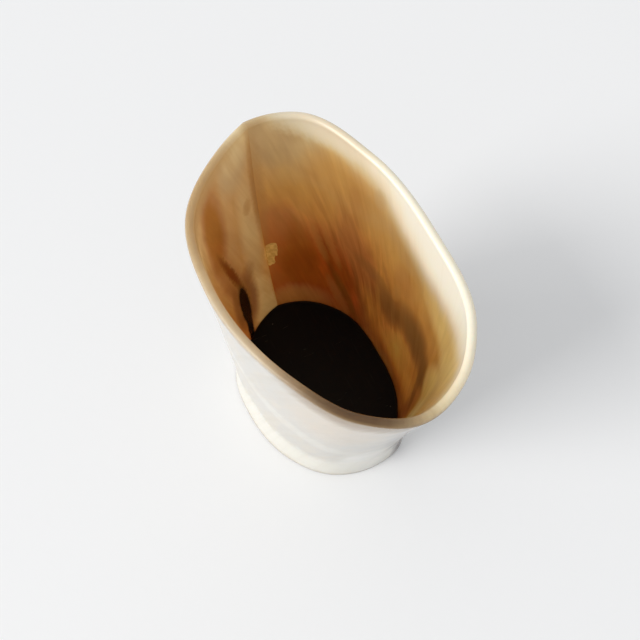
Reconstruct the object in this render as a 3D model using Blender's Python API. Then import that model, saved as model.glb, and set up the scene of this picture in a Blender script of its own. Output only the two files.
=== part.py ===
"""Horn cup: a sawn, polished length of horn that stands on its foot, with a black plate sprung into the bottom.

Metres, +Z up. The origin is on the table under the middle of the rim. +X runs along the oval's long axis,
away from the crease, and +Y across it.
"""

from math import atan2, cos, hypot, pi, radians, sin

import bmesh
import bpy
from mathutils import Vector
from mathutils.geometry import interpolate_bezier

# Overall sizes of the horn
HEIGHT = 0.101
RIM_LENGTH = 0.0946
RIM_WIDTH = 0.0586
FOOT_LENGTH = 0.0733
FOOT_WIDTH = 0.0558
FOOT_SHIFT_X = -0.0019
FOOT_SHIFT_Y = -0.0004

# Wall of the horn
RIM_WALL = 0.0025
SEAT_WALL = 0.0034
FLARE = 1.25
CREASE_BOW = 0.0014

# Foot: it spreads most on one side and runs out to nothing on the other
FOOT_SPREAD = 0.0026
FOOT_SPREAD_SIDE = radians(-72)
FOOT_SPREAD_REACH = 4
EDGE_BREAK = 0.0005

# Base plate, the croze that holds its bevelled edge, and the bead that seals it
RECESS_DEPTH = 0.0035
DISC_THICKNESS = 0.0045
DISC_LAND = 0.0006
CROZE_DEPTH = 0.0014
WAIST_RISE = 0.004
SEAL_SIZE = 0.0008
CLEARANCE = 0.0003

# Heights that follow from those sizes
DISC_TOP = RECESS_DEPTH + DISC_THICKNESS
DISC_MIDDLE = RECESS_DEPTH + DISC_THICKNESS / 2
CROZE_HALF_HEIGHT = DISC_THICKNESS / 2 - DISC_LAND
WAIST_HEIGHT = DISC_TOP + WAIST_RISE
LIP_START = HEIGHT - RIM_WALL / 2

# Fineness of the mesh
STEPS_PER_SPAN = 6
FOOT_ROWS = 4
WALL_ROWS = 10
LIP_STEPS = 6
SEAL_STEPS = 3
SHARP_ANGLE = radians(24)

# Outlines as shares of half the length and half the width, clockwise seen from above. The first point is
# the crease, the only corner.
RIM_SHAPE = [
    (-1.00, 0.00), (-0.93, 0.50), (-0.47, 0.91), (0.12, 1.00), (0.67, 0.85), (0.91, 0.51),
    (1.00, 0.05), (0.86, -0.40), (0.55, -0.74), (-0.11, -1.00), (-0.57, -0.86), (-0.88, -0.36),
]
FOOT_SHAPE = [
    (-1.00, -0.03), (-0.92, 0.36), (-0.53, 0.87), (0.03, 1.00), (0.65, 0.86), (0.94, 0.55),
    (1.00, 0.18), (0.87, -0.42), (0.54, -0.80), (-0.04, -1.00), (-0.49, -0.93), (-0.84, -0.52),
]

# Colours and roughness of the finishes
HORN_COLOUR = (0.62, 0.42, 0.20, 1.0)
HORN_ROUGHNESS = 0.28
PLATE_COLOUR = (0.006, 0.004, 0.003, 1.0)
PLATE_ROUGHNESS = 0.42
SEAL_COLOUR = (0.012, 0.006, 0.003, 1.0)
SEAL_ROUGHNESS = 0.35


def clear_scene():
    for old in list(bpy.data.objects):
        bpy.data.objects.remove(old, do_unlink=True)


def finish(name, colour, roughness):
    """A plain Principled BSDF material."""
    material = bpy.data.materials.new(name)
    material.use_nodes = True
    shader = material.node_tree.nodes["Principled BSDF"]
    shader.inputs["Base Color"].default_value = colour
    shader.inputs["Roughness"].default_value = roughness
    shader.inputs["Metallic"].default_value = 0.0
    return material


def tangent_at(points, i):
    """Direction of a smooth closed curve at point i: that of the circle through it and its neighbours."""
    before = points[i] - points[i - 1]
    after = points[(i + 1) % len(points)] - points[i]
    return (after.normalized() * before.length + before.normalized() * after.length).normalized()


def smooth_outline(points):
    """Closed curve through the points, smooth everywhere but at the first one."""
    curve = []
    for i, start in enumerate(points):
        k = (i + 1) % len(points)
        end = points[k]
        chord = end - start
        along = chord.normalized()
        leaving = tangent_at(points, i)
        arriving = tangent_at(points, k)
        # At the corner each side runs in as a plain arc
        if i == 0:
            leaving = 2 * along.dot(arriving) * along - arriving
        if k == 0:
            arriving = 2 * along.dot(leaving) * along - leaving
        reach = chord.length / 3
        first_handle = start + leaving * reach
        last_handle = end - arriving * reach
        span = interpolate_bezier(start, first_handle, last_handle, end, STEPS_PER_SPAN + 1)
        curve += [Vector((p[0], p[1])) for p in span[:-1]]
    return curve


def inset(outline, depth):
    """The outline moved inwards, with its corner kept sharp."""
    moved = []
    for i, here in enumerate(outline):
        before = (here - outline[i - 1]).normalized()
        after = (outline[(i + 1) % len(outline)] - here).normalized()
        # The outline runs clockwise, so its inner side is on the right
        inward = Vector((before.y + after.y, -before.x - after.x)) / (1 + before.dot(after))
        moved.append(here + inward * depth)
    return moved


def blend(first, second, share):
    return [a.lerp(b, share) for a, b in zip(first, second)]


def ring_at(outline, height):
    return [Vector((p.x, p.y, height)) for p in outline]


def rim_points():
    return [Vector((x * RIM_LENGTH / 2, y * RIM_WIDTH / 2)) for x, y in RIM_SHAPE]


def foot_points():
    shift = Vector((FOOT_SHIFT_X, FOOT_SHIFT_Y))
    return [Vector((x * FOOT_LENGTH / 2, y * FOOT_WIDTH / 2)) + shift for x, y in FOOT_SHAPE]


def waist_points():
    """Points of the horn just above the plate, drawn in from the spread of the foot."""
    middle = Vector((FOOT_SHIFT_X, FOOT_SHIFT_Y))
    drawn_in = []
    for p in foot_points():
        arm = p - middle
        share = 0.5 + 0.5 * cos(atan2(arm.y, arm.x) - FOOT_SPREAD_SIDE)
        drawn_in.append(p - arm.normalized() * FOOT_SPREAD * share ** FOOT_SPREAD_REACH)
    return drawn_in


def wall_outline(share):
    """Outside of the horn at a share of the way from waist to lip, with the crease bowed to one side."""
    points = blend(waist_points(), rim_points(), share ** FLARE)
    points[0].y -= CREASE_BOW * 4 * share * (1 - share)
    return smooth_outline(points)


def wall_height(share):
    return WAIST_HEIGHT + share * (LIP_START - WAIST_HEIGHT)


def seat_outline():
    """The straight inner wall that the plate sits in."""
    return inset(wall_outline(0), SEAT_WALL)


def loft(name, rings, closed, material):
    """One object from rings of equal length: closed into a loop of rings, or capped at both ends."""
    mesh = bpy.data.meshes.new(name)
    work = bmesh.new()
    rows = [[work.verts.new(p) for p in ring] for ring in rings]
    count = len(rings[0])
    pairs = list(zip(rows, rows[1:]))
    if closed:
        pairs.append((rows[-1], rows[0]))
    else:
        work.faces.new(rows[0])
        work.faces.new(rows[-1])
    for lower, upper in pairs:
        for i in range(count):
            k = (i + 1) % count
            work.faces.new((lower[i], lower[k], upper[k], upper[i]))
    bmesh.ops.recalc_face_normals(work, faces=work.faces)
    work.to_mesh(mesh)
    work.free()
    mesh.shade_smooth()
    mesh.set_sharp_from_angle(angle=SHARP_ANGLE)
    mesh.materials.append(material)
    piece = bpy.data.objects.new(name, mesh)
    bpy.context.scene.collection.objects.link(piece)
    return piece


def outer_rings():
    """Outside of the horn, from the foot up to where the lip starts to round over."""
    foot = smooth_outline(foot_points())
    waist = wall_outline(0)
    rings = [ring_at(inset(foot, EDGE_BREAK), 0)]
    for row in range(FOOT_ROWS):
        share = row / FOOT_ROWS
        rings.append(ring_at(blend(foot, waist, share), EDGE_BREAK + share * (WAIST_HEIGHT - EDGE_BREAK)))
    for row in range(WALL_ROWS + 1):
        share = row / WALL_ROWS
        rings.append(ring_at(wall_outline(share), wall_height(share)))
    return rings


def lip_rings():
    """Half-round lip, from its outer side to its inner side."""
    rim = wall_outline(1)
    radius = RIM_WALL / 2
    rings = []
    for step in range(1, LIP_STEPS):
        turn = pi * step / LIP_STEPS
        rings.append(ring_at(inset(rim, radius * (1 - cos(turn))), LIP_START + radius * sin(turn)))
    return rings


def inner_rings():
    """Inside of the horn, from the lip down past the croze to the foot."""
    rings = []
    for row in range(WALL_ROWS, -1, -1):
        share = row / WALL_ROWS
        wall = SEAT_WALL + share * (RIM_WALL - SEAT_WALL)
        rings.append(ring_at(inset(wall_outline(share), wall), wall_height(share)))
    seat = seat_outline()
    rings.append(ring_at(seat, DISC_MIDDLE + CROZE_HALF_HEIGHT))
    rings.append(ring_at(inset(seat, -CROZE_DEPTH), DISC_MIDDLE))
    rings.append(ring_at(seat, DISC_MIDDLE - CROZE_HALF_HEIGHT))
    rings.append(ring_at(seat, EDGE_BREAK))
    rings.append(ring_at(inset(seat, -EDGE_BREAK), 0))
    return rings


def make_horn_wall():
    rings = outer_rings() + lip_rings() + inner_rings()
    return loft("horn_wall", rings, True, finish("polished_horn", HORN_COLOUR, HORN_ROUGHNESS))


def make_base_disc():
    """Plate with a bevelled edge that stands off the croze's two faces by the clearance."""
    back_off = CLEARANCE * hypot(CROZE_DEPTH, CROZE_HALF_HEIGHT) / CROZE_HALF_HEIGHT
    edge = inset(seat_outline(), back_off)
    middle = DISC_THICKNESS / 2
    rings = [
        ring_at(edge, 0),
        ring_at(edge, DISC_LAND),
        ring_at(inset(edge, -CROZE_DEPTH), middle),
        ring_at(edge, DISC_THICKNESS - DISC_LAND),
        ring_at(edge, DISC_THICKNESS),
    ]
    disc = loft("base_disc", rings, False, finish("black_plate", PLATE_COLOUR, PLATE_ROUGHNESS))
    disc.location.z = RECESS_DEPTH
    return disc


def make_base_seal():
    """Bead with a hollow face, in the corner between the plate and the wall."""
    wall_side = inset(seat_outline(), CLEARANCE)
    rings = [ring_at(wall_side, 0)]
    for step in range(SEAL_STEPS + 1):
        turn = pi / 2 * step / SEAL_STEPS
        rings.append(ring_at(inset(wall_side, SEAL_SIZE * (1 - sin(turn))), SEAL_SIZE * (1 - cos(turn))))
    seal = loft("base_seal", rings, True, finish("dark_sealant", SEAL_COLOUR, SEAL_ROUGHNESS))
    seal.location.z = DISC_TOP + CLEARANCE
    return seal


def main():
    clear_scene()
    cup = bpy.data.objects.new("horn_cup", None)
    bpy.context.scene.collection.objects.link(cup)
    for piece in (make_horn_wall(), make_base_disc(), make_base_seal()):
        piece.parent = cup


main()
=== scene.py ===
"""Horn cup, dressed: polished horn wall, black base plate and the bead that seals it."""

from bisect import bisect_right
from math import atan2, cos, pi, radians, sin

import bmesh
import bpy
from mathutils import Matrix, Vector, noise
from mathutils.geometry import interpolate_bezier


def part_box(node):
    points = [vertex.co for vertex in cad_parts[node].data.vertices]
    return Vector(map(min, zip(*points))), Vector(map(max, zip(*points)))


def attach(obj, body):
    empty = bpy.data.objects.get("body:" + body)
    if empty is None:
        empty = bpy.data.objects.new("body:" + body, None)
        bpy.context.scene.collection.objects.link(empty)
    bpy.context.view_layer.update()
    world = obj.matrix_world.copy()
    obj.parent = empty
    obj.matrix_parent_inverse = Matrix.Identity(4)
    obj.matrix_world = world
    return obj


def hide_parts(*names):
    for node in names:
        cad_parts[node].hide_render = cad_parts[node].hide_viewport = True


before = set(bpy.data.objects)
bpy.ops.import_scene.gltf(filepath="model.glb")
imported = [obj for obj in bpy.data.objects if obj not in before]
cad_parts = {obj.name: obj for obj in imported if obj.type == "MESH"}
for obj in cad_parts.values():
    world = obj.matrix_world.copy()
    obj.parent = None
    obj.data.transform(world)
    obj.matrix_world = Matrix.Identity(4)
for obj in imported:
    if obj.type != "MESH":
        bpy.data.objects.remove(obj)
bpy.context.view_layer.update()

MM = 0.001

# Sizes of the horn, read from the solids where they give them
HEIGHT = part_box("horn_wall")[1][2]
PLATE_LOW, PLATE_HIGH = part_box("base_disc")
BEAD_LOW, BEAD_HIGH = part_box("base_seal")
RIM_LENGTH = 94.6 * MM
RIM_WIDTH = 58.6 * MM
FOOT_LENGTH = 73.3 * MM
FOOT_WIDTH = 55.8 * MM
FOOT_MIDDLE = Vector((-1.9, -0.4)) * MM
RIM_WALL = 2.5 * MM
SEAT_WALL = 3.4 * MM
FLARE = 1.25
CREASE_BOW = 1.4 * MM
FOOT_SPREAD = 2.6 * MM
FOOT_SPREAD_SIDE = radians(-72)
FOOT_SPREAD_REACH = 4
EDGE_BREAK = 0.5 * MM
CROZE_DEPTH = 1.4 * MM
CROZE_HALF_HEIGHT = 1.65 * MM
CLEARANCE = 0.3 * MM
PLATE_GAP = 0.4 * MM
PLATE_DISH = 0.12 * MM
PLATE_MIDDLE = (PLATE_LOW[2] + PLATE_HIGH[2]) / 2
SEAT_TOP = PLATE_HIGH[2] + 2 * MM
WAIST_HEIGHT = PLATE_HIGH[2] + 4 * MM
LIP_START = HEIGHT - RIM_WALL / 2

# Outlines as shares of half the length and half the width, clockwise from the crease, the only corner
RIM_SHAPE = [
    (-1.00, 0.00), (-0.93, 0.50), (-0.47, 0.91), (0.12, 1.00), (0.67, 0.85), (0.91, 0.51),
    (1.00, 0.05), (0.86, -0.40), (0.55, -0.74), (-0.11, -1.00), (-0.57, -0.86), (-0.88, -0.36),
]
FOOT_SHAPE = [
    (-1.00, -0.03), (-0.92, 0.36), (-0.53, 0.87), (0.03, 1.00), (0.65, 0.86), (0.94, 0.55),
    (1.00, 0.18), (0.87, -0.42), (0.54, -0.80), (-0.04, -1.00), (-0.49, -0.93), (-0.84, -0.52),
]

# Fineness of the meshes
STEPS_PER_SPAN = 18
FOOT_ROWS = 10
WALL_ROWS = 84
LIP_STEPS = 12
EDGE_STEPS = 3
BEAD_STEPS = 5
PLATE_SHARP_ANGLE = radians(30)
BEAD_SHARP_ANGLE = radians(40)

# Rings of the plate's two faces, as shares of the way from its middle to its edge
PLATE_UNDERSIDE = (0.02, 0.2, 0.5, 0.8, 0.97, 1.0)
PLATE_TOP = (1.0, 0.99, 0.95, 0.8, 0.6, 0.4, 0.2, 0.02)

# Unevenness of the horn's surface: its depth, how often it repeats per metre and how much each kind counts
OUTSIDE_WEAR = 0.4 * MM
INSIDE_WEAR = -0.15 * MM
GROWTH_RINGS_ROUND = 25
GROWTH_RINGS_UP = 95
SWELLS = 90
RIPPLES = 300
RING_WEIGHT = 0.35
SWELL_WEIGHT = 0.25
RIPPLE_WEIGHT = 0.08

# The fibres climb the horn with a twist: share round per mm of height
TWIST = 0.0017

# How far inside the cup a ring of the wall counts as, and from where on the crease is a hard line
OUTSIDE = 0.0
INSIDE = 1.0
HARD_CREASE_FROM = 0.4

# The bead's size wanders: its usual share of the full size, the swing, and how often it repeats per metre
BEAD_SHARE = 0.8
BEAD_SWING = 0.2
BEAD_WANDERS = 400

# Camera
AIM = Vector((-25.5, 12.4, 0)) * MM
VIEW_AZIMUTH = radians(63)
VIEW_ELEVATION = radians(66)
VIEW_DISTANCE = 275.1 * MM
LENS = 39.375
SENSOR = 36.0
CLIP_START = 0.01

# Lamps: name, heading, elevation, distance, width, height and power
LAMPS = [
    ("low_window", radians(-12), radians(16), 12.0, 7.2, 1.5, 612.0),
    ("soft_lamp", radians(-3), radians(40), 12.0, 4.8, 4.2, 518.0),
]
LAMP_COLOUR = (1.0, 0.985, 0.96)
LAMP_AIM = Vector((0, 0, 0.8 * HEIGHT))
SKY_COLOUR = (0.98, 0.99, 1.0)
SKY_STRENGTH = 0.65

# Table
FLOOR_HALF = 3.0
FLOOR_DROP = 0.05 * MM
FLOOR_COLOUR = (0.90, 0.905, 0.915)
FLOOR_ROUGHNESS = 0.55


class Wire:
    """One output of a material's nodes. Sums and products of wires add the nodes that work them out."""

    def __init__(self, tree, socket):
        self.tree = tree
        self.socket = socket

    def node(self, kind, settings, inputs, output=0):
        """Adds a node of this kind: first its settings, then the values or links of its sockets."""
        made = self.tree.nodes.new("ShaderNode" + kind)
        for name, value in settings.items():
            if name == "stops":
                set_stops(made.color_ramp, value)
            else:
                setattr(made, name, value)
        for name, value in inputs.items():
            if isinstance(value, Wire):
                self.tree.links.new(value.socket, made.inputs[name])
            else:
                made.inputs[name].default_value = value
        return Wire(self.tree, made.outputs[output])

    def math(self, operation, *others):
        return self.node("Math", {"operation": operation}, dict(enumerate((self, *others))))

    def __add__(self, other):
        return self.math("ADD", other)

    __radd__ = __add__

    def __sub__(self, other):
        return self.math("SUBTRACT", other)

    def __rsub__(self, other):
        return self.node("Math", {"operation": "SUBTRACT"}, {0: other, 1: self})

    def __mul__(self, other):
        return self.math("MULTIPLY", other)

    __rmul__ = __mul__

    def __truediv__(self, other):
        return self.math("DIVIDE", other)

    def swing(self, size):
        """This noise, which runs from 0 to 1, as a swing to both sides of 0."""
        return (self - 0.5) * size

    def over(self, start, end):
        """0 at start and 1 at end, eased between them."""
        limits = {"Value": self, "From Min": start, "From Max": end}
        return self.node("MapRange", {"interpolation_type": "SMOOTHSTEP"}, limits)

    def mix(self, first, second):
        """first where this mask is 0 and second where it is 1, for colours."""
        return self.node("Mix", {"data_type": "RGBA"}, {0: self, 6: first, 7: second}, 2)

    def tint(self, colour, factor):
        """colour where this mask is 0, and colour times the factor where it is 1."""
        settings = {"data_type": "RGBA", "blend_type": "MULTIPLY"}
        return self.node("Mix", settings, {0: self, 6: colour, 7: factor}, 2)

    def stretched(self, x, y, z):
        """This vector times a number along each axis."""
        return self.node("VectorMath", {"operation": "MULTIPLY"}, {0: self, 1: (x, y, z)})

    def part(self, axis):
        return self.node("SeparateXYZ", {}, {0: self}, axis)

    def clouds(self, scale, detail=3.0, roughness=0.5, distortion=0.0):
        """Soft noise from 0 to 1 on this vector."""
        values = {
            "Vector": self,
            "Scale": scale,
            "Detail": detail,
            "Roughness": roughness,
            "Distortion": distortion,
        }
        return self.node("TexNoise", {}, values)


def set_stops(ramp, stops):
    while len(ramp.elements) < len(stops):
        ramp.elements.new(1.0)
    for element, (place, colour) in zip(ramp.elements, stops):
        element.position = place
        element.color = (*colour, 1.0)


def new_finish(name):
    """A material with its Principled shader, and a wire to start its expressions from."""
    material = bpy.data.materials.new(name)
    material.use_nodes = True
    shader = material.node_tree.nodes["Principled BSDF"]
    return material, shader, Wire(material.node_tree, shader.outputs[0])


def feed(shader, **wires):
    for name, wire in wires.items():
        wire.tree.links.new(wire.socket, shader.inputs[name.replace("_", " ")])


def opaque(colour):
    return (*colour, 1.0)


# Outlines of the horn


def tangent_at(points, i):
    before = points[i] - points[i - 1]
    after = points[(i + 1) % len(points)] - points[i]
    return (after.normalized() * before.length + before.normalized() * after.length).normalized()


def smooth_outline(points):
    """Closed curve through the points, smooth everywhere but at the first one."""
    curve = []
    for i, start in enumerate(points):
        k = (i + 1) % len(points)
        end = points[k]
        chord = end - start
        along = chord.normalized()
        leaving = tangent_at(points, i)
        arriving = tangent_at(points, k)
        if i == 0:
            leaving = 2 * along.dot(arriving) * along - arriving
        if k == 0:
            arriving = 2 * along.dot(leaving) * along - leaving
        reach = chord.length / 3
        first_handle = start + leaving * reach
        last_handle = end - arriving * reach
        span = interpolate_bezier(start, first_handle, last_handle, end, STEPS_PER_SPAN + 1)
        curve += [Vector((p[0], p[1])) for p in span[:-1]]
    return curve


def inward_at(outline, i):
    """Direction to the inner side at point i, longer at a corner so that an inset keeps its depth."""
    before = (outline[i] - outline[i - 1]).normalized()
    after = (outline[(i + 1) % len(outline)] - outline[i]).normalized()
    return Vector((before.y + after.y, -before.x - after.x)) / (1 + before.dot(after))


def inset(outline, depth):
    return [p + inward_at(outline, i) * depth for i, p in enumerate(outline)]


def blend(first, second, share):
    return [a.lerp(b, share) for a, b in zip(first, second)]


def foot_points():
    return [Vector((x * FOOT_LENGTH / 2, y * FOOT_WIDTH / 2)) + FOOT_MIDDLE for x, y in FOOT_SHAPE]


def waist_points():
    drawn_in = []
    for p in foot_points():
        arm = p - FOOT_MIDDLE
        share = 0.5 + 0.5 * cos(atan2(arm.y, arm.x) - FOOT_SPREAD_SIDE)
        drawn_in.append(p - arm.normalized() * FOOT_SPREAD * share ** FOOT_SPREAD_REACH)
    return drawn_in


def wall_outline(share):
    """Outside of the horn at a share of the way from waist to lip, with the crease bowed to one side."""
    rim = [Vector((x * RIM_LENGTH / 2, y * RIM_WIDTH / 2)) for x, y in RIM_SHAPE]
    points = blend(waist_points(), rim, share ** FLARE)
    points[0].y -= CREASE_BOW * 4 * share * (1 - share)
    return smooth_outline(points)


def wall_height(share):
    return WAIST_HEIGHT + share * (LIP_START - WAIST_HEIGHT)


FOOT = smooth_outline(foot_points())
WAIST = wall_outline(0)
MIDDLE = wall_outline(0.5)
RIM = wall_outline(1)
SEAT = inset(WAIST, SEAT_WALL)


def shares_round(outline):
    """How far round from the crease each point lies, as a share of the whole way."""
    steps = [(outline[(i + 1) % len(outline)] - p).length for i, p in enumerate(outline)]
    total = sum(steps)
    shares = [0.0]
    for step in steps:
        shares.append(shares[-1] + step / total)
    return shares


AROUND = shares_round(MIDDLE)


# Meshes


def loft(name, rings, closed):
    """Mesh object from rings of equal length: closed into a loop of rings, or capped at both ends."""
    work = bmesh.new()
    rows = [[work.verts.new(p) for p in ring] for ring in rings]
    count = len(rings[0])
    pairs = list(zip(rows, rows[1:]))
    if closed:
        pairs.append((rows[-1], rows[0]))
    else:
        work.faces.new(rows[0])
        work.faces.new(rows[-1])
    for lower, upper in pairs:
        for i in range(count):
            k = (i + 1) % count
            work.faces.new((lower[i], lower[k], upper[k], upper[i]))
    bmesh.ops.recalc_face_normals(work, faces=work.faces)
    mesh = bpy.data.meshes.new(name)
    work.to_mesh(mesh)
    work.free()
    mesh.shade_smooth()
    piece = bpy.data.objects.new(name, mesh)
    bpy.context.scene.collection.objects.link(piece)
    return piece


def ring_at(outline, height):
    return [Vector((p.x, p.y, height)) for p in outline]


def worn(outline, height, depth):
    """Ring up to depth inside the outline, by slow growth rings and by swells left in polishing."""
    ring = []
    for i, p in enumerate(outline):
        here = Vector((MIDDLE[i].x, MIDDLE[i].y, height))
        across = here.xy * GROWTH_RINGS_ROUND
        rings = noise.noise(Vector((across.x, across.y, height * GROWTH_RINGS_UP)))
        swell = 0.5 + RING_WEIGHT * rings
        swell += SWELL_WEIGHT * noise.noise(here * SWELLS)
        swell += RIPPLE_WEIGHT * noise.noise(here * RIPPLES)
        moved = p + inward_at(outline, i) * depth * min(max(swell, 0.0), 1.0)
        ring.append(Vector((moved.x, moved.y, height)))
    return ring


class Rings:
    """Rings of the horn wall, each with how far inside the cup it counts as: 0 outside, 1 inside."""

    def __init__(self):
        self.places = []
        self.inside = []

    def add(self, ring, inside):
        self.places.append(ring)
        self.inside.append(inside)


def add_outside(rings):
    """From the broken edge of the foot up to where the lip starts to round over."""
    for step in range(EDGE_STEPS + 1):
        turn = pi / 2 * step / EDGE_STEPS
        edge = inset(FOOT, EDGE_BREAK * (1 - sin(turn)))
        rings.add(ring_at(edge, EDGE_BREAK * (1 - cos(turn))), OUTSIDE)
    for row in range(1, FOOT_ROWS):
        share = row / FOOT_ROWS
        height = EDGE_BREAK + share * (WAIST_HEIGHT - EDGE_BREAK)
        rings.add(worn(blend(FOOT, WAIST, share), height, OUTSIDE_WEAR), OUTSIDE)
    for row in range(WALL_ROWS + 1):
        share = row / WALL_ROWS
        rings.add(worn(wall_outline(share), wall_height(share), OUTSIDE_WEAR), OUTSIDE)


def add_lip(rings):
    """Half-round lip, from its outer side to its inner side."""
    radius = RIM_WALL / 2
    for step in range(1, LIP_STEPS):
        turn = pi * step / LIP_STEPS
        edge = inset(RIM, radius * (1 - cos(turn)))
        rings.add(ring_at(edge, LIP_START + radius * sin(turn)), step / LIP_STEPS)


def add_inside(rings):
    """From the lip down past the croze, the groove that holds the plate, to the foot."""
    for row in range(WALL_ROWS, -1, -1):
        share = row / WALL_ROWS
        wall = SEAT_WALL + share * (RIM_WALL - SEAT_WALL)
        rings.add(worn(inset(wall_outline(share), wall), wall_height(share), INSIDE_WEAR), INSIDE)
    for height, depth in (
        (SEAT_TOP, 0),
        (PLATE_MIDDLE + CROZE_HALF_HEIGHT, 0),
        (PLATE_MIDDLE, -CROZE_DEPTH),
        (PLATE_MIDDLE - CROZE_HALF_HEIGHT, 0),
        (EDGE_BREAK, 0),
        (0, -EDGE_BREAK),
    ):
        rings.add(ring_at(inset(SEAT, depth), height), INSIDE)


def point_round(share):
    """Point of the middle outline at a share of the way round."""
    share %= 1.0
    i = bisect_right(AROUND, share) - 1
    step = (share - AROUND[i]) / (AROUND[i + 1] - AROUND[i])
    return MIDDLE[i].lerp(MIDDLE[(i + 1) % len(MIDDLE)], step)


def mark_wall(mesh, inside, columns):
    """Attributes that the horn's finish reads: way round, inside or outside, and place along the grain."""
    around = mesh.attributes.new("around", "FLOAT", "CORNER")
    within = mesh.attributes.new("inside", "FLOAT", "POINT")
    grain = mesh.attributes.new("grain", "FLOAT_VECTOR", "POINT")
    for v in mesh.vertices:
        row, column = divmod(v.index, columns)
        within.data[v.index].value = inside[row]
        place = point_round(AROUND[column] - TWIST * (HEIGHT - v.co.z) / MM)
        grain.data[v.index].vector = (place.x, place.y, v.co.z)
    for face in mesh.polygons:
        face_columns = [mesh.loops[k].vertex_index % columns for k in face.loop_indices]
        last = columns - 1 in face_columns
        for k, column in zip(face.loop_indices, face_columns):
            around.data[k].value = AROUND[columns] if last and column == 0 else AROUND[column]


def sharpen_crease(mesh, inside, columns):
    """The crease is a hard line inside the cup and on the lip."""
    for edge in mesh.edges:
        on_crease = all(v % columns == 0 for v in edge.vertices)
        outermost = min(inside[v // columns] for v in edge.vertices)
        if on_crease and outermost > HARD_CREASE_FROM:
            edge.use_edge_sharp = True


def make_horn_wall():
    rings = Rings()
    add_outside(rings)
    add_lip(rings)
    add_inside(rings)
    piece = loft("polished_horn_wall", rings.places, True)
    columns = len(MIDDLE)
    mark_wall(piece.data, rings.inside, columns)
    sharpen_crease(piece.data, rings.inside, columns)
    piece.data.materials.append(horn_finish())
    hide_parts("horn_wall")
    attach(piece, "root")


def make_base_plate():
    """Plate turned with a bevelled edge, very slightly dished on top."""
    edge = inset(SEAT, PLATE_GAP)
    low, high = PLATE_LOW[2], PLATE_HIGH[2]
    centre = sum(edge, Vector((0, 0))) / len(edge)
    rings = []
    for share in PLATE_UNDERSIDE:
        rings.append(ring_at(blend([centre] * len(edge), edge, share), low))
    rings.append(ring_at(inset(edge, -CROZE_DEPTH), PLATE_MIDDLE))
    for share in PLATE_TOP:
        dished = high - PLATE_DISH * (1 - share ** 2)
        rings.append(ring_at(blend([centre] * len(edge), edge, share), dished))
    piece = loft("black_base_plate", rings, False)
    piece.data.set_sharp_from_angle(angle=PLATE_SHARP_ANGLE)
    piece.data.materials.append(plate_finish())
    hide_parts("base_disc")
    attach(piece, "root")


def make_sealing_bead():
    """Bead laid by hand: its face is hollow and its width wanders a little."""
    wall_side = inset(SEAT, CLEARANCE)
    low = BEAD_LOW[2]
    size = BEAD_HIGH[2] - BEAD_LOW[2]
    rings = [ring_at(wall_side, low)]
    for step in range(BEAD_STEPS + 1):
        turn = pi / 2 * step / BEAD_STEPS
        ring = []
        for i, p in enumerate(wall_side):
            wander = BEAD_SHARE + BEAD_SWING * noise.noise(Vector((p.x, p.y, 0)) * BEAD_WANDERS)
            moved = p + inward_at(wall_side, i) * size * wander * (1 - sin(turn))
            ring.append(Vector((moved.x, moved.y, low + size * wander * (1 - cos(turn)))))
        rings.append(ring)
    piece = loft("sealing_bead", rings, True)
    piece.data.set_sharp_from_angle(angle=BEAD_SHARP_ANGLE)
    piece.data.materials.append(bead_finish())
    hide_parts("base_seal")
    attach(piece, "root")


# Finishes

# Horn colours, from the outside skin to the darkest stain
CREAM = (0.545, 0.527, 0.49)
# Painted highlight: white of the flared foot and of a pale stripe, where they turn up to the light
HIGHLIGHT_WHITE = (0.72, 0.705, 0.64)
BONE = (0.86, 0.85, 0.80)
ROSE_CREAM = (0.60, 0.52, 0.43)
# Painted shade: grey of the far end that turns away from the lamps, and of the contact line along the foot
SHADE_GREY = (0.30, 0.28, 0.27)
DEEP_SHADE_GREY = (0.13, 0.10, 0.09)
ASH_TAN = (0.25, 0.165, 0.075)
# Painted light: cream of the sunlit band under the lip, on the lip itself, and at the band's
# butter-coloured lower edge
SUNLIT_IVORY = (0.99, 0.94, 0.81)
SUNLIT_LIP_IVORY = (0.88, 0.815, 0.67)
SUNLIT_BUTTER = (0.90, 0.76, 0.53)
WARM_IVORY = (0.76, 0.64, 0.47)
WARM_CREAM = (0.74, 0.59, 0.37)
CLEAR_HORN = (0.92, 0.66, 0.36)
PALE_HORN = (0.65, 0.50, 0.345)
PALE_GOLD = (0.87, 0.525, 0.215)
# Painted reflection beside the crease, pale gold and a duller gold
GLINT_GOLD = (0.70, 0.44, 0.18)
DULL_GLINT_GOLD = (0.54, 0.32, 0.115)
SHOULDER = (0.84, 0.53, 0.26)
TAN = (0.52, 0.36, 0.195)
FACET_TAN = (0.38, 0.245, 0.127)
FACET_GREY = (0.50, 0.385, 0.25)
FACET_ASH = (0.37, 0.29, 0.195)
DULL_TAN = (0.42, 0.29, 0.16)
LIP_ASH = (0.41, 0.32, 0.22)
LIP_TAN = (0.32, 0.22, 0.12)
LIP_BROWN = (0.085, 0.050, 0.023)
GOLD = (0.52, 0.275, 0.080)
AMBER = (0.57, 0.265, 0.064)
HONEY = (0.99, 0.41, 0.13)
BROWN = (0.40, 0.17, 0.050)
DULL_BROWN = (0.44, 0.245, 0.09)
RED_BROWN = (0.30, 0.046, 0.0085)
DEEP_RED = (0.20, 0.025, 0.005)
KNOT = (0.25, 0.095, 0.023)
OLIVE = (0.25, 0.125, 0.036)
UMBER = (0.15, 0.050, 0.013)
DARK_UMBER = (0.088, 0.013, 0.002)
BLACK = (0.008, 0.004, 0.002)

# What streaks, fibres and blotches do to the colour under them
DARK_STREAK = (0.55, 0.42, 0.34)
PALE_STREAK = (1.28, 1.28, 1.28)
DARK_FINE_STREAK = (0.60, 0.48, 0.40)
DARK_BLOTCH = (0.75, 0.68, 0.6)
DARK_FIBRE = (0.7, 0.6, 0.5)
DARK_SKIN_FIBRE = (0.86, 0.82, 0.76)

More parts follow.
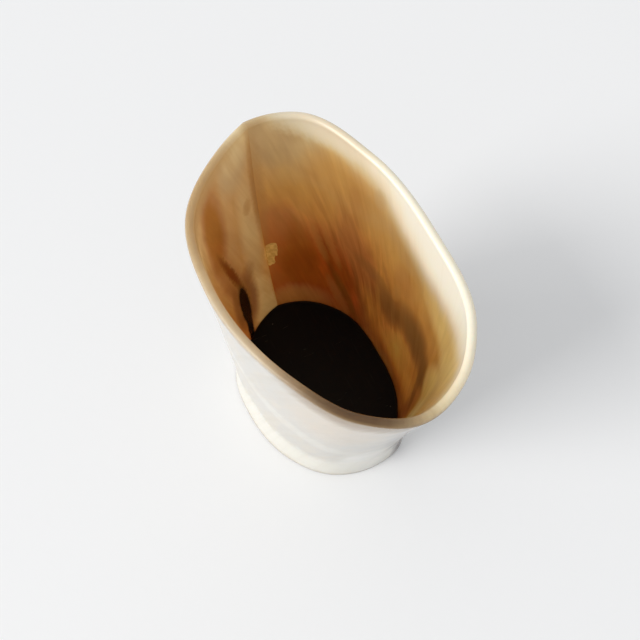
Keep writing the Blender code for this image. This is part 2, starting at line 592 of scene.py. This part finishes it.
# Colours of the plate and the bead
PLATE_BLACK = (0.004, 0.003, 0.002)
SCUFF = (0.010, 0.008, 0.006)
HAIR_SCRATCH = (0.035, 0.030, 0.022)
DUST = (0.09, 0.08, 0.06)
BEAD_BLACK = (0.008, 0.005, 0.003)
BEAD_BROWN = (0.02, 0.011, 0.006)

# How often the noise of the horn repeats per metre: twice across the grain, then along it
FIBRES = (800, 800, 18)
SKIN_FIBRES = (420, 420, 7)
STREAKS = (190, 190, 45)
FINE_STREAKS = (430, 430, 36)
BLOTCHES = (80, 80, 45)
SPECKS = 700

# The same for the plate and the bead
GRIT = 1800
SCUFFS = (60, 900, 1)
HAIR_SCRATCHES = (700, 90, 1)
DUST_FLECKS = 420
LUMPS = 900

# How the clear horn and its dense skin take light
HORN_IOR = 1.54
CLEAR_BODY = {
    "Specular IOR Level": 0.25,
    "Subsurface Weight": 0.74,
    "Subsurface Radius": (1.0, 0.8, 0.6),
    "Subsurface Scale": 0.018,
}
DENSE_SKIN = {
    "Subsurface Weight": 0.4,
    "Subsurface Radius": (1.0, 0.8, 0.6),
    "Subsurface Scale": 0.003,
}
PLATE_SPECULAR = 0.12
BEAD_SPECULAR = 0.1
GRIT_BUMP = {"Strength": 0.2, "Distance": 0.0001}
LUMP_BUMP = {"Strength": 0.4, "Distance": 0.0002}

# Colour of the inside from plate to lip, by height in mm, and the height at which its ramp ends
RISE_TOP = 100
INNER_RISE = [(8, BROWN), (36, AMBER), (58, AMBER), (74, GOLD), (90, TAN), (100, WARM_CREAM)]

# Where the growth streaks are strongest: middle as share round and height in mm, half sizes, slant per mm
STREAKY_SIDE = ((0.18, 40), (0.16, 46), -0.001)

# Clouds of colour inside the cup: middle, half sizes and slant in the same terms, then colour and strength
INNER_CLOUDS = [
    ((0.67, 45), (0.20, 90), 0.0, CLEAR_HORN, 0.9),
    ((0.93, 80), (0.13, 64), 0.0, FACET_TAN, 0.95),
    ((0.970, 56), (0.03, 38), 0.0, FACET_GREY, 0.8),
    ((0.98, 14), (0.05, 32), 0.0, PALE_HORN, 0.85),
    ((0.955, 94), (0.04, 13), 0.0, FACET_ASH, 0.8),
    ((0.893, 82), (0.040, 22), 0.0, KNOT, 1.1),
    ((0.900, 56), (0.036, 28), -0.0012, KNOT, 0.8),
    ((0.965, 100), (0.04, 12), 0.0, WARM_CREAM, 0.3),
    ((0.03, 97), (0.07, 16), 0.0, DULL_TAN, 1.0),
    ((0.085, 31), (0.13, 35), 0.0, RED_BROWN, 1.0),
    ((0.155, 28), (0.06, 34), -0.0018, RED_BROWN, 0.75),
    ((0.19, 8), (0.05, 13), 0.0, UMBER, 0.25),
    ((0.065, 34), (0.05, 14), 0.0, DEEP_RED, 0.4),
    ((0.15, 65), (0.032, 24), 0.0, BROWN, 0.6),
    ((0.03, 56), (0.05, 14), 0.0, RED_BROWN, 0.65),
    ((0.025, 58), (0.04, 14), 0.0, BROWN, 0.4),
    ((0.19, 50), (0.055, 19), -0.001, BROWN, 0.8),
    ((0.17, 52), (0.065, 22), 0.0, RED_BROWN, 0.25),
    ((0.05, 13), (0.10, 10), 0.0, DULL_BROWN, 0.75),
    # Honey cloud: partly the horn's own tone, partly painted light that comes in through the thin front
    # wall
    ((0.325, 31), (0.105, 18), 0.0, HONEY, 1.0),
    ((0.24, 34), (0.035, 14), 0.0, AMBER, 0.6),
    ((0.265, 45), (0.05, 11), 0.0, OLIVE, 0.85),
    ((0.335, 53.5), (0.078, 13), 0.0, OLIVE, 1.0),
    ((0.395, 53), (0.035, 11), 0.0, OLIVE, 0.9),
    ((0.422, 28), (0.022, 32), 0.0, BROWN, 0.85),
    ((0.42, 9), (0.03, 9), 0.0, UMBER, 0.5),
    ((0.30, 8), (0.05, 8), 0.0, DULL_BROWN, 0.5),
    ((0.455, 74), (0.062, 36), 0.0, SHOULDER, 0.65),
    ((0.478, 40), (0.045, 32), -0.0008, CLEAR_HORN, 0.95),
    ((0.36, 82), (0.08, 11), 0.0, PALE_GOLD, 0.8),
    ((0.42, 86), (0.05, 15), 0.0, PALE_GOLD, 0.7),
    ((0.42, 63), (0.03, 12), 0.0, PALE_GOLD, 1.0),
    ((0.27, 69), (0.03, 8), 0.0, BROWN, 0.4),
    ((0.14, 84), (0.08, 14), 0.0, GOLD, 0.9),
]

# Painted sunlit band under the lip, the light of a low window falling on the far wall over the near rim:
# the height at which its ramp ends, how softly it fades, how deep its butter-coloured lower part is, and
# its lower edge as share round and height in mm
SUNLIT_BAND_TOP = 110
SUNLIT_BAND_FADE = (-7.0, 5.0)
SUNLIT_BUTTER_DEPTH = 4
SUNLIT_BAND_EDGE = [
    (0.0, 109), (0.03, 106), (0.06, 101.5), (0.10, 98), (0.16, 97.5), (0.20, 94.5),
    (0.24, 89), (0.30, 85), (0.345, 86), (0.39, 91), (0.44, 98), (0.50, 106),
]

# Smaller marks inside, in the same terms as the clouds
INNER_MARKS = [
    ((0.10, 101), (0.085, 9), 0.0, WARM_IVORY, 0.85),
    ((0.0, 72), (0.022, 36), 0.0, OLIVE, 0.55),
    ((1.0, 78), (0.016, 32), 0.0, OLIVE, 0.85),
    ((1.0, 24), (0.006, 20), 0.0, BROWN, 0.5),
    # Painted reflection beside the crease, like the patches further down
    ((1.0, 44), (0.008, 5), 0.0, GLINT_GOLD, 0.7),
    # Painted reflection of the black plate and the dark bottom in the glossy wall: the dark Y by the foot
    # of the crease, this line and the next five, blackest in the slit
    ((0.909, 33), (0.024, 18), -0.0006, UMBER, 0.65),
    ((0.911, 56), (0.011, 21), -0.00145, DARK_UMBER, 0.95),
    ((0.948, 45), (0.026, 7), 0.0, UMBER, 0.4),
    ((0.947, 30), (0.026, 20), 0.0, UMBER, 0.8),
    ((0.929, 31), (0.0185, 17), -0.0004, BLACK, 1.8),
    ((0.9315, 16), (0.013, 17), 0.0, BLACK, 1.4),
    ((0.975, 73), (0.012, 4), 0.0, OLIVE, 0.45),
    ((0.097, 50), (0.014, 14), -0.0018, AMBER, 0.35),
    ((0.124, 49), (0.013, 13), -0.0018, AMBER, 0.35),
    ((0.145, 19), (0.020, 14), -0.0021, BROWN, 0.6),
    ((0.163, 22), (0.017, 19), -0.0025, UMBER, 0.5),
    ((0.240, 59), (0.007, 6), -0.0030, BROWN, 0.5),
    ((0.22, 52), (0.07, 5), 0.0, OLIVE, 0.5),
    ((0.406, 41), (0.014, 16), -0.0019, OLIVE, 0.7),
    ((0.157, 80), (0.014, 7), 0.0, BROWN, 0.3),
    ((0.195, 89), (0.014, 5), 0.0, DULL_TAN, 0.5),
    ((0.268, 59), (0.012, 7), 0.0, GOLD, 0.5),
    ((0.0, 104), (0.035, 10), 0.0, LIP_TAN, 0.8),
    ((0.72, 103), (0.13, 10), 0.0, LIP_ASH, 1.0),
    ((0.87, 103), (0.13, 10), 0.0, LIP_TAN, 1.0),
    ((1.0, 104), (0.02, 10), 0.0, LIP_TAN, 0.6),
    ((0.585, 103), (0.12, 11), 0.0, LIP_BROWN, 1.0),
]

# Painted reflection beside the crease, pale patches with square shoulders: middle and half sizes
CREASE_GLINTS = [
    ((0.013, 45.6), (0.0125, 3.4)),
    ((0.0095, 40.4), (0.0085, 3.6)),
    ((0.020, 43.2), (0.0035, 2.4)),
]

# Clouds of colour outside
OUTER_CLOUDS = [
    ((0.12, 50), (0.22, 90), 0.0, WARM_CREAM, 0.35),
    ((0.60, 80), (0.08, 34), 0.0, ROSE_CREAM, 0.7),
    ((0.57, 102), (0.13, 17), 0.0, ASH_TAN, 1.0),
    ((0.80, 103), (0.14, 9), 0.0, DULL_TAN, 0.7),
    ((0.30, 103), (0.20, 8), 0.0, WARM_CREAM, 0.6),
    # Painted highlight: pale slanting stripe where a ridge of the wall catches the light
    ((0.685, 49), (0.08, 22), 0.0095, HIGHLIGHT_WHITE, 0.38),
    ((0.53, 20), (0.05, 24), 0.0, BONE, 0.75),
    # Painted highlight on the flared foot, which turns up to the light: this line and the next
    ((0.57, 10), (0.06, 14), 0.0, HIGHLIGHT_WHITE, 0.6),
    ((0.70, 6), (0.24, 11), 0.0, HIGHLIGHT_WHITE, 0.7),
    # Painted shade: rose-grey low on the foot, where it meets the table
    ((0.70, -1), (0.30, 4), 0.0, ROSE_CREAM, 0.5),
    # Painted shade down the far end of the wall, which turns away from the lamps, darkest low on the foot:
    # this line and the next two
    ((0.485, 46), (0.032, 60), 0.0007, SHADE_GREY, 0.5),
    ((0.462, 10), (0.024, 26), 0.0, SHADE_GREY, 0.9),
    ((0.455, 7), (0.014, 8), 0.0, DEEP_SHADE_GREY, 0.9),
]


def stain_mask(around, height, place, reach, slant):
    """Soft mask, 1 in the middle of a leaning oval and 0 at its edge."""
    across = (around - place[0] - (height - place[1]) * slant) / reach[0]
    up = (height - place[1]) / reach[1]
    return (across * across + up * up).over(1.0, 0.0)


def glint_mask(around, height, place, reach):
    """Mask with square shoulders and a hard edge."""
    across = (around - place[0]) / reach[0]
    up = (height - place[1]) / reach[1]
    across = across * across
    up = up * up
    return (across * across + up * up).over(1.0, 0.6)


def stained(colour, around, height, stains):
    for place, reach, slant, stain, strength in stains:
        colour = (stain_mask(around, height, place, reach, slant) * strength).mix(colour, opaque(stain))
    return colour


def ramp(value, stops):
    """Colour from the stops, each a place from 0 to 1 and the colour there."""
    return value.node("ValToRGB", {"stops": stops}, {"Fac": value})


def horn_finish():
    """Clear amber body that lets light through, and a denser skin outside and in the painted sunlit band
    by the lip.
    """
    material, shader, start = new_finish("polished_horn")
    around = start.node("Attribute", {"attribute_name": "around"}, {}, "Fac")
    inside = start.node("Attribute", {"attribute_name": "inside"}, {}, "Fac")
    grain = start.node("Attribute", {"attribute_name": "grain"}, {}, "Vector")
    height = grain.part(2) / MM
    streaks = grain.stretched(*STREAKS).clouds(1.0, 2.0, 0.5, 0.6)
    blotches = grain.stretched(*BLOTCHES).clouds(1.0, 3.0, 0.5, 0.5)
    # Painted light: the sunlit band under the lip, cream above a butter-coloured lower edge
    sunlit_band = sunlit_band_mask(around, height, streaks)
    pale = inside.over(0.6, 1.0).mix(opaque(SUNLIT_LIP_IVORY), opaque(SUNLIT_IVORY))
    inner = sunlit_band.mix(body_colour(around, height, grain, streaks, blotches), opaque(SUNLIT_BUTTER))
    inner = sunlit_band_mask(around, height - SUNLIT_BUTTER_DEPTH, streaks).mix(inner, pale)
    inner = marked(inner, around, height, grain)
    outer = outer_colour(around, height, grain, streaks, blotches)
    within = inside.over(0.0, 0.35)
    looks = {"Base Color": within.mix(outer, inner), "Roughness": 0.18 + 0.12 * blotches, "IOR": HORN_IOR}
    clear = start.node("BsdfPrincipled", {}, {**looks, **CLEAR_BODY})
    dense = start.node("BsdfPrincipled", {}, {**looks, **DENSE_SKIN})
    surface = start.node("MixShader", {}, {0: within * (1.0 - sunlit_band), 1: dense, 2: clear})
    nodes = material.node_tree.nodes
    material.node_tree.links.new(surface.socket, nodes["Material Output"].inputs["Surface"])
    nodes.remove(shader)
    return material


def sunlit_band_mask(around, height, streaks):
    """1 in the painted sunlit band under the lip and 0 below its streaky edge."""
    edge_stops = [(share, (mm / SUNLIT_BAND_TOP,) * 3) for share, mm in SUNLIT_BAND_EDGE]
    edge = ramp(around, edge_stops) * SUNLIT_BAND_TOP
    return (height + streaks.swing(3) - edge).over(*SUNLIT_BAND_FADE)


def body_colour(around, height, grain, streaks, blotches):
    """Amber body of the horn, seen from inside: its rise of colour, its clouds and its growth streaks."""
    fine_streaks = grain.stretched(*FINE_STREAKS).clouds(1.0, 2.0, 0.5, 0.5)
    base_stops = [(mm / RISE_TOP, colour) for mm, colour in INNER_RISE]
    colour = ramp((height + blotches.swing(8)) / RISE_TOP, base_stops)
    streaky = 0.28 + 0.72 * stain_mask(around, height, *STREAKY_SIDE)
    wander = around + blotches.swing(0.02)
    rise = height + streaks.swing(streaky) * 9 + blotches.swing(7)
    colour = stained(colour, wander, rise, INNER_CLOUDS)
    colour = (streaks.over(0.48, 0.68) * streaky * 0.5).tint(colour, opaque(DARK_STREAK))
    colour = (streaks.over(0.48, 0.30) * streaky).tint(colour, opaque(PALE_STREAK))
    colour = (fine_streaks.over(0.5, 0.68) * streaky * 0.4).tint(colour, opaque(DARK_FINE_STREAK))
    colour = (fine_streaks.over(0.48, 0.32) * streaky * 0.5).tint(colour, opaque(PALE_STREAK))
    return (blotches.over(0.5, 0.7) * 0.3).tint(colour, opaque(DARK_BLOTCH))


def marked(colour, around, height, grain):
    """Fine fibres, the marks and the painted reflection beside the crease on top of the body."""
    fibres = grain.stretched(*FIBRES).clouds(1.0, 2.0, 0.5)
    specks = grain.clouds(SPECKS, 2.0)
    colour = (fibres.over(0.5, 0.75) * 0.08).tint(colour, opaque(DARK_FIBRE))
    ragged = around + specks.swing(0.005)
    frayed = height + fibres.swing(1.5) + specks.swing(2)
    colour = stained(colour, ragged, frayed, INNER_MARKS)
    # Painted reflection: pale patches beside the crease
    for place, reach in CREASE_GLINTS:
        glint = glint_mask(around + specks.swing(0.006), height + specks.swing(2), place, reach)
        colour = glint.mix(colour, specks.over(0.65, 0.40).mix(opaque(GLINT_GOLD), opaque(DULL_GLINT_GOLD)))
    return colour


def outer_colour(around, height, grain, streaks, blotches):
    """Pale skin of the horn: long fibres and warm streaks, a painted highlight whiter by the foot, painted
    shade down its far end and a painted contact shadow grey on its bottom edge.
    """
    fibres = grain.stretched(*SKIN_FIBRES).clouds(1.0, 3.0, 0.55)
    colour = (streaks.over(0.4, 0.7) * 0.15).mix(opaque(CREAM), opaque(WARM_CREAM))
    wander = around + blotches.swing(0.03) + streaks.swing(0.02)
    rise = height + streaks.swing(4) + fibres.swing(3)
    # Painted highlight: whiter foot band, where the flared foot turns up to the light
    colour = (rise.over(19.0, 6.0) * 0.75).mix(colour, opaque(HIGHLIGHT_WHITE))
    colour = stained(colour, wander, rise, OUTER_CLOUDS)
    # Painted contact shadow: grey in the lowest mm of the foot, where it stands on the table
    colour = (height.over(1.3, 0.3) * 0.4).mix(colour, opaque(SHADE_GREY))
    return (fibres.over(0.45, 0.7) * 0.25).tint(colour, opaque(DARK_SKIN_FIBRE))


def plate_finish():
    """Satin black with fine scuffs, hair scratches and a few flecks of dust."""
    material, shader, start = new_finish("black_plate")
    place = start.node("TexCoord", {}, {}, "Object")
    grit = place.clouds(GRIT, 3.0)
    scuffs = place.stretched(*SCUFFS).clouds(1.0, 2.0)
    hairs = place.stretched(*HAIR_SCRATCHES).clouds(1.0, 2.0, 0.5, 2.5)
    flecks = place.clouds(DUST_FLECKS, 1.0)
    colour = scuffs.over(0.6, 0.75).mix(opaque(PLATE_BLACK), opaque(SCUFF))
    colour = hairs.over(0.72, 0.76).mix(colour, opaque(HAIR_SCRATCH))
    colour = flecks.over(0.80, 0.84).mix(colour, opaque(DUST))
    shader.inputs["Specular IOR Level"].default_value = PLATE_SPECULAR
    bump = start.node("Bump", {}, {**GRIT_BUMP, "Height": grit})
    feed(shader, Base_Color=colour, Roughness=0.38 + 0.2 * grit, Normal=bump)
    return material


def bead_finish():
    """Hard dark sealant, a little lumpy."""
    material, shader, start = new_finish("dark_sealant")
    place = start.node("TexCoord", {}, {}, "Object")
    lumps = place.clouds(LUMPS, 3.0)
    colour = lumps.mix(opaque(BEAD_BLACK), opaque(BEAD_BROWN))
    shader.inputs["Specular IOR Level"].default_value = BEAD_SPECULAR
    bump = start.node("Bump", {}, {**LUMP_BUMP, "Height": lumps})
    feed(shader, Base_Color=colour, Roughness=0.45 + 0.2 * lumps, Normal=bump)
    return material


# Stage


def make_floor():
    half = FLOOR_HALF
    corners = [(-half, -half, 0), (half, -half, 0), (half, half, 0), (-half, half, 0)]
    mesh = bpy.data.meshes.new("floor")
    mesh.from_pydata(corners, [], [(0, 1, 2, 3)])
    floor = bpy.data.objects.new("floor", mesh)
    floor.location.z = -FLOOR_DROP
    bpy.context.scene.collection.objects.link(floor)
    material, shader, _ = new_finish("pale_table")
    shader.inputs["Base Color"].default_value = opaque(FLOOR_COLOUR)
    shader.inputs["Roughness"].default_value = FLOOR_ROUGHNESS
    mesh.materials.append(material)


def add_lamp(name, heading, elevation, distance, width, height, energy):
    """Soft lamp on the -Y side, turned by heading towards +X, aimed at the upper part of the cup."""
    lamp = bpy.data.lights.new(name, "AREA")
    lamp.shape = "RECTANGLE"
    lamp.size = width
    lamp.size_y = height
    lamp.energy = energy
    lamp.color = LAMP_COLOUR
    holder = bpy.data.objects.new(name, lamp)
    bpy.context.scene.collection.objects.link(holder)
    level = cos(elevation)
    towards = Vector((sin(heading) * level, -cos(heading) * level, sin(elevation)))
    holder.location = LAMP_AIM + distance * towards
    holder.rotation_euler = (LAMP_AIM - holder.location).to_track_quat("-Z", "Y").to_euler()


def make_lights():
    world = bpy.data.worlds.new("soft_room")
    bpy.context.scene.world = world
    world.use_nodes = True
    sky = world.node_tree.nodes["Background"]
    sky.inputs["Color"].default_value = opaque(SKY_COLOUR)
    sky.inputs["Strength"].default_value = SKY_STRENGTH
    for lamp in LAMPS:
        add_lamp(*lamp)


def make_camera():
    camera = bpy.data.cameras.new("camera")
    camera.lens = LENS
    camera.sensor_width = SENSOR
    eye = bpy.data.objects.new("camera", camera)
    bpy.context.scene.collection.objects.link(eye)
    level = cos(VIEW_ELEVATION)
    looking = Vector((-sin(VIEW_AZIMUTH) * level, cos(VIEW_AZIMUTH) * level, -sin(VIEW_ELEVATION)))
    eye.location = AIM - looking * VIEW_DISTANCE
    eye.rotation_euler = looking.to_track_quat("-Z", "Y").to_euler()
    camera.clip_start = CLIP_START
    bpy.context.scene.camera = eye


make_horn_wall()
make_base_plate()
make_sealing_bead()
make_floor()
make_lights()
make_camera()
bpy.context.scene.view_settings.view_transform = "Standard"
